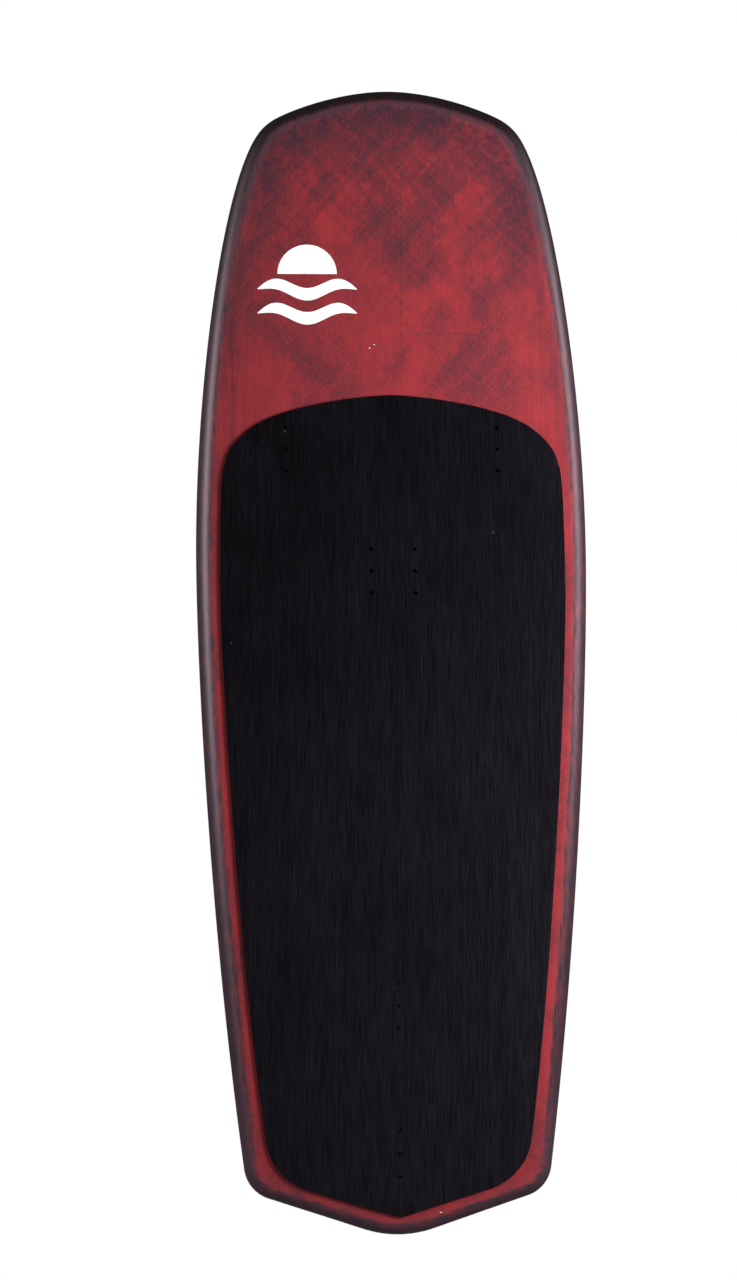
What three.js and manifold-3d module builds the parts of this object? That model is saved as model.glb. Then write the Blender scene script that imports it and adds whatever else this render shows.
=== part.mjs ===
// A kiteboard for riding with a hydrofoil: a foam core in a carbon laminate, with an EVA pad on its deck,
// threaded inserts for foot straps under the pad, and two T-tracks in its bottom that the foil bolts to.
// Millimetres, +Z up, +Y to the nose, +X to starboard.
// The origin is on the flat of the bottom, on the centreline, halfway between nose and tail.

import * as THREE from "three";
import { mergeVertices } from "three/addons/utils/BufferGeometryUtils.js";
import Module from "manifold-3d";

const wasm = await Module();
wasm.setup();

// ---------------------------------------------------------------- driving dimensions

const HALF_LENGTH = 650;
const HALF_WIDTH = 223;
const THICKNESS = 44;
const GAP = 0.3; // glue line between neighbouring pieces

const SKIN = 1.6;
const SHEET = 3;
const PAD = 4;
const PAD_HOLE_RADIUS = 2.4;
const SHEET_MARGIN = 5; // how far the stiffening sheet stays inside the pad's outline

// The deck is level up to DECK_RISE_START and then rises to the nose, and so does the bottom.
const DECK_RISE_START = 300;
const DECK_RISE = 12;
const ROCKER_START = 150;
const ROCKER = 34;
const ROCKER_POWER = 2.2;
const TAIL_KICK_START = -540;
const TAIL_KICK = 6;

// The rail is widest a little below half thickness, and rounds into deck and bottom as quarter ellipses.
const RAIL_APEX_SHARE = 0.45;
const RAIL_STEPS = 4;
const DECK_RAIL = { tail: 14, middle: 22, nose: 28 };
const BOTTOM_RAIL = { tail: 22, middle: 38, nose: 24 };
const RAIL_CHANGE_START = 380; // distance from the middle where a rail starts to change

const INSERT = { pitch: 25, radius: 5.5, flangeRadius: 7.5, length: 18, boreRadius: 2.5, boreDepth: 15 };
const SCREW_HOLE_RADIUS = 3;
const INSERT_ROWS = [
  { row: "front_port", x: -120.5, y: 230 },
  { row: "front_starboard", x: 120.5, y: 230 },
  { row: "mid_port", x: -25, y: 90 },
  { row: "mid_starboard", x: 25, y: 90 },
  { row: "rear", x: 0, y: -398 },
  { row: "tail", x: 0, y: -560 },
];

const BLOCK_DEPTH = 24;
const BLOCK_CORNER = 8;
const INSERT_BLOCKS = [
  { name: "front_port_block", x: -120.5, y: 230, width: 40, length: 80 },
  { name: "front_starboard_block", x: 120.5, y: 230, width: 40, length: 80 },
  { name: "mid_block", x: 0, y: 90, width: 90, length: 84 },
  { name: "tail_block", x: 0, y: -560, width: 50, length: 80 },
];
const TRACK_BLOCK = { width: 150, length: 272 };

const TRACK = {
  x: 45,
  y: -380,
  height: 20,
  width: 24,
  length: 258,
  flangeWidth: 34,
  flangeLength: 266,
  flange: 2,
  slotWidth: 9.4,
  cavityWidth: 17.4,
  cavityLength: 250,
  cavityFloor: 4.5,
  cavityRoof: 13,
  entryLength: 30,
};
const NUT = { baseWidth: 16.4, baseLength: 28, baseLow: 5, baseHigh: 11, neckWidth: 8.4, neckLength: 16, neckLow: 1 };
const NUT_BORE_RADIUS = 3.4;
const NUT_REST = 82.5; // from the track's middle, for a mast plate with holes 165 apart

const DECAL = { x: -95, thickness: 0.25 };
const SUN = { y: 434, radius: 34 };
const WAVE = { length: 114, width: 14, height: 6, turns: 1.5, upperY: 417, lowerY: 389 };

const ROUND_STEPS = 12; // sides of a small round hole or pin
const SAME_POINT = 0.01; // outline points closer than this are one point

const SKIN_TOP = THICKNESS;
const SHEET_TOP = SKIN_TOP - SKIN - GAP;
const BLOCK_TOP = SHEET_TOP - SHEET - GAP;

// ---------------------------------------------------------------- outlines

function bezier(from, handleFrom, handleTo, to, steps) {
  const points = [from, handleFrom, handleTo, to].map(([x, y]) => new THREE.Vector2(x, y));
  return new THREE.CubicBezierCurve(...points).getPoints(steps);
}

// The arc that rounds a corner, as { start, end, points }. It touches the lines to before and to after.
function roundedCorner(before, corner, after, radius, steps) {
  const tip = new THREE.Vector2(...corner);
  const back = new THREE.Vector2(...before).sub(tip).normalize();
  const ahead = new THREE.Vector2(...after).sub(tip).normalize();
  const halfAngle = Math.acos(back.dot(ahead)) / 2;
  const reach = radius / Math.tan(halfAngle);
  const start = back.clone().multiplyScalar(reach).add(tip);
  const end = ahead.clone().multiplyScalar(reach).add(tip);
  const inwards = back.clone().add(ahead).normalize();
  const centre = inwards.multiplyScalar(radius / Math.sin(halfAngle)).add(tip);
  const first = start.clone().sub(centre).angle();
  const last = end.clone().sub(centre).angle();
  const arc = new THREE.EllipseCurve(centre.x, centre.y, radius, radius, first, last, true);
  return { start: start.toArray(), end: end.toArray(), points: arc.getPoints(steps) };
}

// The half of a rounded tail tip that lies to starboard, from the straight tail edge to the centreline.
function halfTip(edgeStart, vertexY, radius, steps) {
  const port = [-edgeStart[0], edgeStart[1]];
  return roundedCorner(edgeStart, [0, vertexY], port, radius, 2 * steps).points.slice(0, steps + 1);
}

// Points of a closed outline that runs from the nose down the starboard side to the tail and back.
function mirrored(half) {
  const starboard = half.filter((point, i) => i === 0 || point.distanceTo(half[i - 1]) > SAME_POINT);
  const port = starboard.slice(1, -1).reverse();
  return [...starboard, ...port.map(({ x, y }) => new THREE.Vector2(-x, y))];
}

function boardOutline() {
  const tailVertex = -656.5;
  const shoulder = roundedCorner([116, 627], [142.5, 610.5], [190.5, 549], 60, 5);
  const quarter = roundedCorner([208, -310], [168, -601.5], [0, tailVertex], 39, 5);
  return mirrored([
    ...bezier([0, HALF_LENGTH], [56, HALF_LENGTH], [116, 627], shoulder.start, 8),
    ...shoulder.points,
    ...bezier(shoulder.end, [190.5, 549], [HALF_WIDTH, 313], [HALF_WIDTH, 117], 11),
    ...bezier([HALF_WIDTH, 117], [HALF_WIDTH, -10], [208, -310], quarter.start, 14),
    ...quarter.points,
    ...halfTip(quarter.end, tailVertex, 124.5, 3),
  ]);
}

function padOutline() {
  const frontY = 292.7;
  const width = 195.8;
  const tailVertex = -630;
  const quarter = roundedCorner([178.2, -337], [140.9, -587], [0, tailVertex], 64, 5);
  return mirrored([
    ...bezier([0, frontY], [20, frontY], [120, 283.4], [158.3, 255.7], 7),
    ...bezier([158.3, 255.7], [187.2, 235], [187.8, 219.4], [191.3, 208.9], 5),
    ...bezier([191.3, 208.9], [194.2, 201], [width, 143], [width, 71], 4),
    ...bezier([width, 71], [width, 12], [178.2, -337], quarter.start, 12),
    ...quarter.points,
    ...halfTip(quarter.end, tailVertex, 24, 3),
  ]);
}

// A closed clockwise outline moved inwards by inset(point), so that its edges stay parallel.
function insetOutline(outline, inset) {
  return outline.map((point, i) => {
    const before = outline.at(i - 1);
    const after = outline[(i + 1) % outline.length];
    const arriving = point.clone().sub(before).normalize();
    const leaving = after.clone().sub(point).normalize();
    const inwards = new THREE.Vector2(arriving.y + leaving.y, -arriving.x - leaving.x).normalize();
    const stretch = 1 / new THREE.Vector2(arriving.y, -arriving.x).dot(inwards);
    return inwards.multiplyScalar(inset(point) * stretch).add(point);
  });
}

// ---------------------------------------------------------------- the hull's shape

// A dimension that holds over the middle of the board and changes smoothly towards each end.
function alongBoard(y, { tail, middle, nose }) {
  const share = THREE.MathUtils.smoothstep(Math.abs(y), RAIL_CHANGE_START, HALF_LENGTH);
  return THREE.MathUtils.lerp(middle, y > 0 ? nose : tail, share);
}

function deckHeight(y) {
  const share = Math.max(0, y - DECK_RISE_START) / (HALF_LENGTH - DECK_RISE_START);
  return THICKNESS + DECK_RISE * share ** 2;
}

function bottomHeight(y) {
  const rocker = Math.max(0, y - ROCKER_START) / (HALF_LENGTH - ROCKER_START);
  const kick = Math.max(0, TAIL_KICK_START - y) / (HALF_LENGTH + TAIL_KICK_START);
  return ROCKER * rocker ** ROCKER_POWER + TAIL_KICK * kick ** 2;
}

function apexHeight(y) {
  return THREE.MathUtils.lerp(bottomHeight(y), deckHeight(y), RAIL_APEX_SHARE);
}

const BOARD_OUTLINE = boardOutline();
const PAD_OUTLINE = padOutline();

// One closed ring on a surface that lies depth inside the hull. turn is 0 at the rail's apex,
// 1 where the rail meets the deck and -1 where it meets the bottom. lift moves the ring off the apex.
function hullRing(turn, depth, lift = 0) {
  const rail = turn > 0 ? DECK_RAIL : BOTTOM_RAIL;
  const angle = (Math.abs(turn) * Math.PI) / 2;
  const inset = ({ y }) => depth + (alongBoard(y, rail) - depth) * (1 - Math.cos(angle));
  return insetOutline(BOARD_OUTLINE, inset).map(({ x, y }) => {
    const apex = apexHeight(y) + lift;
    const edge = turn > 0 ? deckHeight(y) - depth : bottomHeight(y) + depth;
    return new THREE.Vector3(x, y, THREE.MathUtils.lerp(apex, edge, Math.sin(angle)));
  });
}

// Rings on the same surface, from the apex to the deck (side 1) or to the bottom (side -1).
function hullRings(side, depth, lift = 0) {
  const steps = Array.from({ length: RAIL_STEPS + 1 }, (_, i) => (side * i) / RAIL_STEPS);
  return steps.map((turn) => hullRing(turn, depth, lift));
}

// ---------------------------------------------------------------- solids

function signedVolume(geometry) {
  const position = geometry.getAttribute("position");
  const corner = [0, 1, 2].map(() => new THREE.Vector3());
  let total = 0;
  for (let i = 0; i < geometry.index.count; i += 3) {
    corner.forEach((point, k) => point.fromBufferAttribute(position, geometry.index.getX(i + k)));
    total += corner[0].dot(corner[1].cross(corner[2])) / 6;
  }
  return total;
}

// A closed body through rings of equal length, capped across the first and the last ring.
function loft(rings) {
  const count = rings[0].length;
  const faces = [];
  for (let ring = 0; ring < rings.length - 1; ring += 1) {
    for (let i = 0; i < count; i += 1) {
      const [a, b] = [ring * count + i, ring * count + ((i + 1) % count)];
      faces.push(a, b, b + count, a, b + count, a + count);
    }
  }
  // Strips from starboard to port: point i faces point count - i.
  const cap = (base, flipped) => {
    for (let i = 0; i < count / 2; i += 1) {
      const [near, next] = [base + i, base + i + 1];
      const [far, farNext] = [base + ((count - i) % count), base + count - i - 1];
      const strip = [near, next, farNext, near, farNext, far];
      const kept = i === 0 ? strip.slice(0, 3) : strip;
      const made = i === count / 2 - 1 ? [near, next, far] : kept;
      faces.push(...(flipped ? made.reverse() : made));
    }
  };
  cap(0, true);
  cap((rings.length - 1) * count, false);
  const geometry = new THREE.BufferGeometry().setFromPoints(rings.flat());
  geometry.setIndex(faces);
  if (signedVolume(geometry) < 0) geometry.setIndex(faces.reverse());
  return geometry;
}

// A flat shape made into a plate between two heights.
function plate(shape, low, high, curveSegments = ROUND_STEPS / 2) {
  const geometry = new THREE.ExtrudeGeometry(shape, { depth: high - low, bevelEnabled: false, curveSegments });
  return geometry.translate(0, 0, low);
}

function box(width, length, low, high) {
  return new THREE.BoxGeometry(width, length, high - low).translate(0, 0, (low + high) / 2);
}

function rod(radius, low, high, steps = ROUND_STEPS) {
  const cylinder = new THREE.CylinderGeometry(radius, radius, high - low, steps);
  return cylinder.rotateX(Math.PI / 2).translate(0, 0, (low + high) / 2);
}

// A rectangle with rounded corners, centred on the origin, as a shape.
function roundedRectangle(width, length, radius) {
  const [x, y] = [width / 2 - radius, length / 2 - radius];
  const shape = new THREE.Shape();
  shape.absarc(x, y, radius, 0, Math.PI / 2);
  shape.absarc(-x, y, radius, Math.PI / 2, Math.PI);
  shape.absarc(-x, -y, radius, Math.PI, 1.5 * Math.PI);
  shape.absarc(x, -y, radius, 1.5 * Math.PI, 2 * Math.PI);
  return shape;
}

function toSolid(geometry) {
  const bare = geometry.index ? geometry.toNonIndexed() : geometry.clone();
  for (const name of Object.keys(bare.attributes)) {
    if (name !== "position") bare.deleteAttribute(name);
  }
  const merged = mergeVertices(bare);
  const vertProperties = merged.getAttribute("position").array;
  const triVerts = new Uint32Array(merged.index.array);
  return new wasm.Manifold(new wasm.Mesh({ numProp: 3, vertProperties, triVerts }));
}

function toGeometry(solid) {
  const { vertProperties, triVerts } = solid.getMesh();
  const geometry = new THREE.BufferGeometry();
  geometry.setAttribute("position", new THREE.BufferAttribute(vertProperties, 3));
  geometry.setIndex(new THREE.BufferAttribute(triVerts, 1));
  geometry.computeVertexNormals();
  return geometry;
}

function cut(body, tools) {
  return toGeometry(tools.reduce((rest, tool) => rest.subtract(toSolid(tool)), toSolid(body)));
}

function join(...bodies) {
  return toGeometry(bodies.map(toSolid).reduce((whole, body) => whole.add(body)));
}

// ---------------------------------------------------------------- places of the inserts

const INSERTS = INSERT_ROWS.flatMap(({ row, x, y }) =>
  [1, 0, -1].map((step, i) => ({ name: `insert_${row}_${i + 1}`, x, y: y + step * INSERT.pitch })),
);

function atInserts(makeTool, places = INSERTS) {
  return places.map(({ x, y }) => makeTool().translate(x, y, 0));
}

// The outlines run clockwise, so their holes run the other way.
function addRoundHoles(shape, radius) {
  for (const { x, y } of INSERTS) {
    shape.holes.push(new THREE.Path().absarc(x, y, radius, 0, 2 * Math.PI));
  }
  return shape;
}

// ---------------------------------------------------------------- shell, core and pad

// The upper half of the laminate, down to the rail's apex, with a hole over each insert.
function deckSkin() {
  const outside = hullRings(1, 0, GAP / 2).reverse();
  const inside = hullRings(1, SKIN, GAP / 2);
  const screwHole = () => rod(SCREW_HOLE_RADIUS, SKIN_TOP - 2 * SKIN, SKIN_TOP + SKIN);
  return cut(loft([...outside, ...inside]), atInserts(screwHole));
}

// The lower half of the laminate, open around the flanges of the tracks.
function bottomSkin() {
  const outside = hullRings(-1, 0, -GAP / 2).reverse();
  const inside = hullRings(-1, SKIN, -GAP / 2);
  return cut(loft([...outside, ...inside]), trackPockets());
}

function trackPockets() {
  const flange = roundedRectangle(TRACK.flangeWidth + 2 * GAP, TRACK.flangeLength + 2 * GAP, TRACK.flangeWidth / 4);
  const body = roundedRectangle(TRACK.width + 2 * GAP, TRACK.length + 2 * GAP, TRACK.width / 4);
  return [-TRACK.x, TRACK.x].flatMap((x) => [
    plate(flange, -SKIN, TRACK.flange + GAP).translate(x, TRACK.y, 0),
    plate(body, -SKIN, TRACK.height + GAP).translate(x, TRACK.y, 0),
  ]);
}

// The foam blank, with a recess for the stiffening sheet and a pocket for each block.
function foamCore() {
  const depth = SKIN + GAP;
  const upper = hullRings(1, depth).reverse();
  const lower = hullRings(-1, depth).slice(1);
  const recess = new THREE.Shape(insetOutline(PAD_OUTLINE, () => SHEET_MARGIN - GAP));
  const pockets = INSERT_BLOCKS.map(({ x, y, width, length }) => {
    const shape = roundedRectangle(width + 2 * GAP, length + 2 * GAP, BLOCK_CORNER);
    return plate(shape, BLOCK_TOP - BLOCK_DEPTH - GAP, THICKNESS).translate(x, y, 0);
  });
  const trackPocket = box(TRACK_BLOCK.width + 2 * GAP, TRACK_BLOCK.length + 2 * GAP, -SKIN, THICKNESS);
  return cut(loft([...upper, ...lower]), [
    plate(recess, BLOCK_TOP, THICKNESS),
    ...pockets,
    trackPocket.translate(0, TRACK.y, 0),
  ]);
}

function deckSheet() {
  const shape = new THREE.Shape(insetOutline(PAD_OUTLINE, () => SHEET_MARGIN));
  return plate(addRoundHoles(shape, INSERT.flangeRadius + GAP), SHEET_TOP - SHEET, SHEET_TOP);
}

function deckPad() {
  const shape = addRoundHoles(new THREE.Shape(PAD_OUTLINE), PAD_HOLE_RADIUS);
  return plate(shape, SKIN_TOP + GAP, SKIN_TOP + GAP + PAD);
}

// ---------------------------------------------------------------- inserts and their blocks

// A flanged sleeve with a blind threaded bore, its top at height 0.
function insert() {
  const profile = [
    [0, -INSERT.boreDepth],
    [INSERT.boreRadius, -INSERT.boreDepth],
    [INSERT.boreRadius, 0],
    [INSERT.flangeRadius, 0],
    [INSERT.flangeRadius, -SHEET],
    [INSERT.radius, -SHEET],
    [INSERT.radius, -INSERT.length],
    [0, -INSERT.length],
  ];
  const points = profile.map(([x, y]) => new THREE.Vector2(x, y)).reverse();
  return new THREE.LatheGeometry(points, ROUND_STEPS).rotateX(Math.PI / 2);
}

function insertBore() {
  return rod(INSERT.radius + GAP, SHEET_TOP - INSERT.length - GAP, THICKNESS);
}

// A dense foam block that takes the inserts whose centres lie inside its outline.
function insertBlock({ x, y, width, length }) {
  const body = plate(roundedRectangle(width, length, BLOCK_CORNER), BLOCK_TOP - BLOCK_DEPTH, BLOCK_TOP);
  const held = INSERTS.filter((place) => Math.abs(place.x - x) < width / 2 && Math.abs(place.y - y) < length / 2);
  return cut(body.translate(x, y, 0), atInserts(insertBore, held));
}

// The block between deck and bottom that holds both tracks and the rear inserts.
function trackBlock() {
  const body = box(TRACK_BLOCK.width, TRACK_BLOCK.length, SKIN + GAP, BLOCK_TOP).translate(0, TRACK.y, 0);
  const held = INSERTS.filter(({ name }) => name.startsWith("insert_rear"));
  return cut(body, [...trackPockets(), ...atInserts(insertBore, held)]);
}

// ---------------------------------------------------------------- tracks and T-nuts

// A moulded channel, closed at both ends, with a slot below and an entry for the nuts at its middle.
function track() {
  const flange = roundedRectangle(TRACK.flangeWidth, TRACK.flangeLength, TRACK.flangeWidth / 4);
  const body = roundedRectangle(TRACK.width, TRACK.length, TRACK.width / 4);
  const whole = join(plate(flange, 0, TRACK.flange), plate(body, 0, TRACK.height));
  return cut(whole, [
    box(TRACK.cavityWidth, TRACK.cavityLength, TRACK.cavityFloor, TRACK.cavityRoof),
    box(TRACK.slotWidth, TRACK.cavityLength, -SKIN, TRACK.cavityRoof),
    box(TRACK.cavityWidth, TRACK.entryLength, -SKIN, TRACK.cavityRoof),
  ]);
}

function trackNut() {
  const base = box(NUT.baseWidth, NUT.baseLength, NUT.baseLow, NUT.baseHigh);
  const neck = box(NUT.neckWidth, NUT.neckLength, NUT.neckLow, NUT.baseHigh);
  return cut(join(base, neck), [rod(NUT_BORE_RADIUS, NUT.neckLow - GAP, NUT.baseHigh + GAP)]);
}

// ---------------------------------------------------------------- printed graphic

// A thin print that lies on the deck and follows its height.
function decal(shape) {
  const geometry = plate(shape, GAP, GAP + DECAL.thickness);
  const position = geometry.getAttribute("position");
  for (let i = 0; i < position.count; i += 1) {
    position.setZ(i, position.getZ(i) + deckHeight(position.getY(i)));
  }
  return geometry;
}

function sunShape() {
  return new THREE.Shape().absarc(DECAL.x, SUN.y, SUN.radius, 0, Math.PI);
}

// A wavy ribbon that narrows towards both ends.
function waveShape(middleY) {
  const steps = 2 * ROUND_STEPS;
  const edge = (side) =>
    Array.from({ length: steps + 1 }, (_, i) => {
      const along = i / steps;
      const ride = WAVE.height * Math.sin(2 * Math.PI * WAVE.turns * along);
      const half = (WAVE.width / 2) * (1 - (2 * along - 1) ** 4) + DECAL.thickness;
      return new THREE.Vector2(DECAL.x + WAVE.length * (along - 0.5), middleY + ride + side * half);
    });
  return new THREE.Shape([...edge(-1), ...edge(1).reverse()]);
}

// ---------------------------------------------------------------- materials

function finish(color, roughness, metalness = 0) {
  return new THREE.MeshStandardMaterial({ color, roughness, metalness });
}

const FINISHES = {
  tintedCarbon: finish(0x8e363c, 0.42),
  darkCarbon: finish(0x2f2a30, 0.38),
  pad: finish(0x17161b, 0.9),
  foam: finish(0xe8e6dc, 0.95),
  denseFoam: finish(0xc9b98a, 0.9),
  insertMetal: finish(0xb9bcc0, 0.35, 1),
  trackPlastic: finish(0x1b1b1d, 0.5),
  nutMetal: finish(0xc4c6ca, 0.3, 1),
  print: finish(0xf6f7f5, 0.4),
};

// ---------------------------------------------------------------- assembly

function piece(name, geometry, material, [x, y, z] = [0, 0, 0]) {
  const mesh = new THREE.Mesh(geometry, material);
  mesh.name = name;
  mesh.position.set(x, y, z);
  return mesh;
}

function shellGroup() {
  return new THREE.Group().add(
    piece("deck_skin", deckSkin(), FINISHES.tintedCarbon),
    piece("bottom_skin", bottomSkin(), FINISHES.darkCarbon),
    piece("foam_core", foamCore(), FINISHES.foam),
    piece("deck_sheet", deckSheet(), FINISHES.denseFoam),
    piece("deck_pad", deckPad(), FINISHES.pad),
    piece("decal_sun", decal(sunShape()), FINISHES.print),
    piece("decal_wave_upper", decal(waveShape(WAVE.upperY)), FINISHES.print),
    piece("decal_wave_lower", decal(waveShape(WAVE.lowerY)), FINISHES.print),
  );
}

function insertGroup() {
  const sleeve = insert();
  const sleeves = INSERTS.map(({ name, x, y }) => piece(name, sleeve, FINISHES.insertMetal, [x, y, SHEET_TOP]));
  const blocks = INSERT_BLOCKS.map((block) => piece(block.name, insertBlock(block), FINISHES.denseFoam));
  return new THREE.Group().add(...sleeves, ...blocks, piece("track_block", trackBlock(), FINISHES.denseFoam));
}

// One track with its two nuts, in a group placed at the track's middle.
function trackGroup(side, x) {
  const group = new THREE.Group();
  group.position.set(x, TRACK.y, 0);
  return group.add(
    piece(`track_${side}`, track(), FINISHES.trackPlastic),
    piece(`nut_${side}_front`, trackNut(), FINISHES.nutMetal, [0, NUT_REST, 0]),
    piece(`nut_${side}_rear`, trackNut(), FINISHES.nutMetal, [0, -NUT_REST, 0]),
  );
}

const kiteboard = new THREE.Group().add(
  shellGroup(),
  insertGroup(),
  trackGroup("port", -TRACK.x),
  trackGroup("starboard", TRACK.x),
);

export default kiteboard;
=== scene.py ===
import math
import random
from types import SimpleNamespace

import bmesh
import bpy
import numpy as np
from mathutils import Matrix, Vector

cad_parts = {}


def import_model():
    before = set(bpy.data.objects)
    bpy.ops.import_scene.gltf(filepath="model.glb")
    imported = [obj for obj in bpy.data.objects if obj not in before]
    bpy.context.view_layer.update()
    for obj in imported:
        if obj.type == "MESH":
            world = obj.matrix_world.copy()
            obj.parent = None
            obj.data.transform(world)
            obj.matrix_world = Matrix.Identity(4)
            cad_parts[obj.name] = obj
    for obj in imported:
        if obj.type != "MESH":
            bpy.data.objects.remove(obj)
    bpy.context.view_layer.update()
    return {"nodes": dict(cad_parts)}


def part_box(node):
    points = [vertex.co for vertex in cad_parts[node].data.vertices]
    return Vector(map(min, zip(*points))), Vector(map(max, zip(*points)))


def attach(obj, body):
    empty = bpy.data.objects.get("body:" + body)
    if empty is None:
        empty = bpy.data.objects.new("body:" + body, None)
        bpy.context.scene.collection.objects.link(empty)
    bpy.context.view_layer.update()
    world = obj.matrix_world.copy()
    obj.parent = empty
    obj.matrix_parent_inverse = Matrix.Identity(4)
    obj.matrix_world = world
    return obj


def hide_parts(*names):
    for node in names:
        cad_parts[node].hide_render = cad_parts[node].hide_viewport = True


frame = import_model()

# ---------------------------------------------------------------- sizes

MM = 0.001

SKIN_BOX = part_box("deck_skin")
PAD_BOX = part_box("deck_pad")
NOSE_Y = SKIN_BOX[1].y
HALF_WIDTH = SKIN_BOX[1].x
PAD_LOW, PAD_HIGH = PAD_BOX[0].z, PAD_BOX[1].z
PAD_FRONT_Y = PAD_BOX[1].y
GLUE = 0.3 * MM
THICKNESS = PAD_LOW - GLUE
SKIN = 1.6 * MM

# The deck is level up to DECK_RISE_START and rises from there to the nose. The bottom is level from
# TAIL_KICK_START to ROCKER_START, and rises from there to both ends.
DECK_RISE_START = 0.300
DECK_RISE = 0.012
ROCKER_START = 0.150
ROCKER = 0.034
ROCKER_POWER = 2.2
TAIL_KICK_START = -0.540
TAIL_KICK = 0.006

# The rail is widest a little below half thickness, and rounds into deck and bottom as quarter ellipses.
RAIL_APEX_SHARE = 0.45
RAIL_STEPS = 16
DECK_RAIL = {"tail": 0.014, "middle": 0.022, "nose": 0.028}
BOTTOM_RAIL = {"tail": 0.022, "middle": 0.038, "nose": 0.024}
RAIL_CHANGE_START = 0.380

OUTLINE_SPACING = 0.004  # between two points of an outline
ACROSS = 40  # cells across the deck and the bottom

SCREW_HOLE_RADIUS = 3 * MM
PAD_HOLE_RADIUS = 2.4 * MM
PAD_LOW_EDGE = 0.2 * MM  # how far the pad's lower and upper edges are rounded
PAD_HIGH_EDGE = 0.9 * MM
GROOVE = {"pitch": 2.6 * MM, "width": 1.2 * MM, "depth": 0.34 * MM, "spread": 0.24 * MM, "sway": 0.15 * MM}
GROOVE_STATIONS = 40  # points along one groove
GROOVE_SEED = 7

PRINT_LOW, PRINT_HIGH = 0.03 * MM, 0.16 * MM  # the print's two faces, above the deck

INSERT = {"radius": 5.5 * MM, "flange_radius": 7.5 * MM, "flange": 3 * MM, "bore_depth": 15 * MM}
INSERT_THREAD = {"minor": 2.5 * MM, "major": 3.0 * MM, "pitch": 1.0 * MM}
INSERT_GROOVES = 7
INSERT_CHAMFER = 0.5 * MM

# A track is a flange with a narrower and shorter body on it. Its cavity holds the T-nuts, and opens
# downwards through a slot, which is as wide as the cavity at the entry.
TRACK_FLANGE = 2 * MM
TRACK_POCKET = 2.3 * MM  # depth of the flange's pocket in the bottom
TRACK_BODY_NARROWER, TRACK_BODY_SHORTER = 10 * MM, 8 * MM
CAVITY = {"width": 17.4 * MM, "length": 250 * MM, "low": 4.5 * MM, "high": 13 * MM, "corner": 1.5 * MM}
SLOT = {"width": 9.4 * MM, "corner": 4.6 * MM, "top": 12 * MM, "entry_length": 30 * MM, "chamfer": 0.6 * MM}

NUT_THREAD = {"minor": 3.4 * MM, "major": 4.0 * MM, "pitch": 1.25 * MM}
NUT_BASE = {"low": 5 * MM, "corner": 2.5 * MM}
NUT_NECK = {"width": 8.4 * MM, "length": 16 * MM, "corner": 3 * MM, "high": 8 * MM}

SHARP_ANGLE = math.radians(30)  # edges sharper than this aren't shaded smooth

RIB_PITCH, WEFT_PITCH = 2.8 * MM, 1.9 * MM  # of the deck's cloth
TOW = 2.0 * MM  # width of one tow of the bottom's twill
RAIL_BAND = {"tail": 0.0145, "middle": 0.0180, "nose": 0.0190}  # width of the dark band round the deck

# ---------------------------------------------------------------- outlines


def unit(vector):
    return vector / np.linalg.norm(vector)


def bezier(start, handle_start, handle_end, end, steps=60):
    a, b, c, d = (np.array(point, float) for point in (start, handle_start, handle_end, end))
    t = np.linspace(0, 1, steps + 1)[:, None]
    return a * (1 - t) ** 3 + 3 * b * t * (1 - t) ** 2 + 3 * c * t**2 * (1 - t) + d * t**3


def rounded_corner(before, corner, after, radius, steps=24):
    """The clockwise arc that rounds a corner. It touches the lines to before and to after."""
    tip = np.array(corner, float)
    back = unit(np.array(before, float) - tip)
    ahead = unit(np.array(after, float) - tip)
    half_angle = math.acos(back @ ahead) / 2
    centre = tip + unit(back + ahead) * radius / math.sin(half_angle)
    start = tip + back * radius / math.tan(half_angle) - centre
    turn = (math.pi - 2 * half_angle) * np.linspace(0, 1, steps + 1)
    angle = math.atan2(start[1], start[0]) - turn
    return centre + radius * np.column_stack([np.cos(angle), np.sin(angle)])


def half_tip(edge_start, vertex_y, radius, steps=12):
    """The half of a rounded tail tip that lies to starboard."""
    port = (-edge_start[0], edge_start[1])
    return rounded_corner(edge_start, (0, vertex_y), port, radius, 2 * steps)[: steps + 1]


def even_points(path, spacing):
    """Points at equal distances along a path."""
    travelled = np.concatenate([[0], np.cumsum(np.linalg.norm(np.diff(path, axis=0), axis=1))])
    stops = np.linspace(0, travelled[-1], round(travelled[-1] / spacing) + 1)
    return np.column_stack([np.interp(stops, travelled, path[:, axis]) for axis in (0, 1)])


def mirrored(half):
    """A closed outline that runs from the nose down the starboard side to the tail and back."""
    starboard = even_points(np.vstack(half), OUTLINE_SPACING)
    starboard[[0, -1], 0] = 0
    return np.vstack([starboard, starboard[-2:0:-1] * (-1, 1)])


def board_outline():
    tail_y = -0.6565
    shoulder = rounded_corner((0.116, 0.627), (0.1425, 0.6105), (0.1905, 0.549), 0.060)
    quarter = rounded_corner((0.208, -0.310), (0.168, -0.6015), (0, tail_y), 0.039)
    return mirrored([
        bezier((0, NOSE_Y), (0.056, NOSE_Y), (0.116, 0.627), shoulder[0]),
        shoulder,
        bezier(shoulder[-1], (0.1905, 0.549), (HALF_WIDTH, 0.313), (HALF_WIDTH, 0.117)),
        bezier((HALF_WIDTH, 0.117), (HALF_WIDTH, -0.010), (0.208, -0.310), quarter[0]),
        quarter,
        half_tip(quarter[-1], tail_y, 0.1245),
    ])


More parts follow.
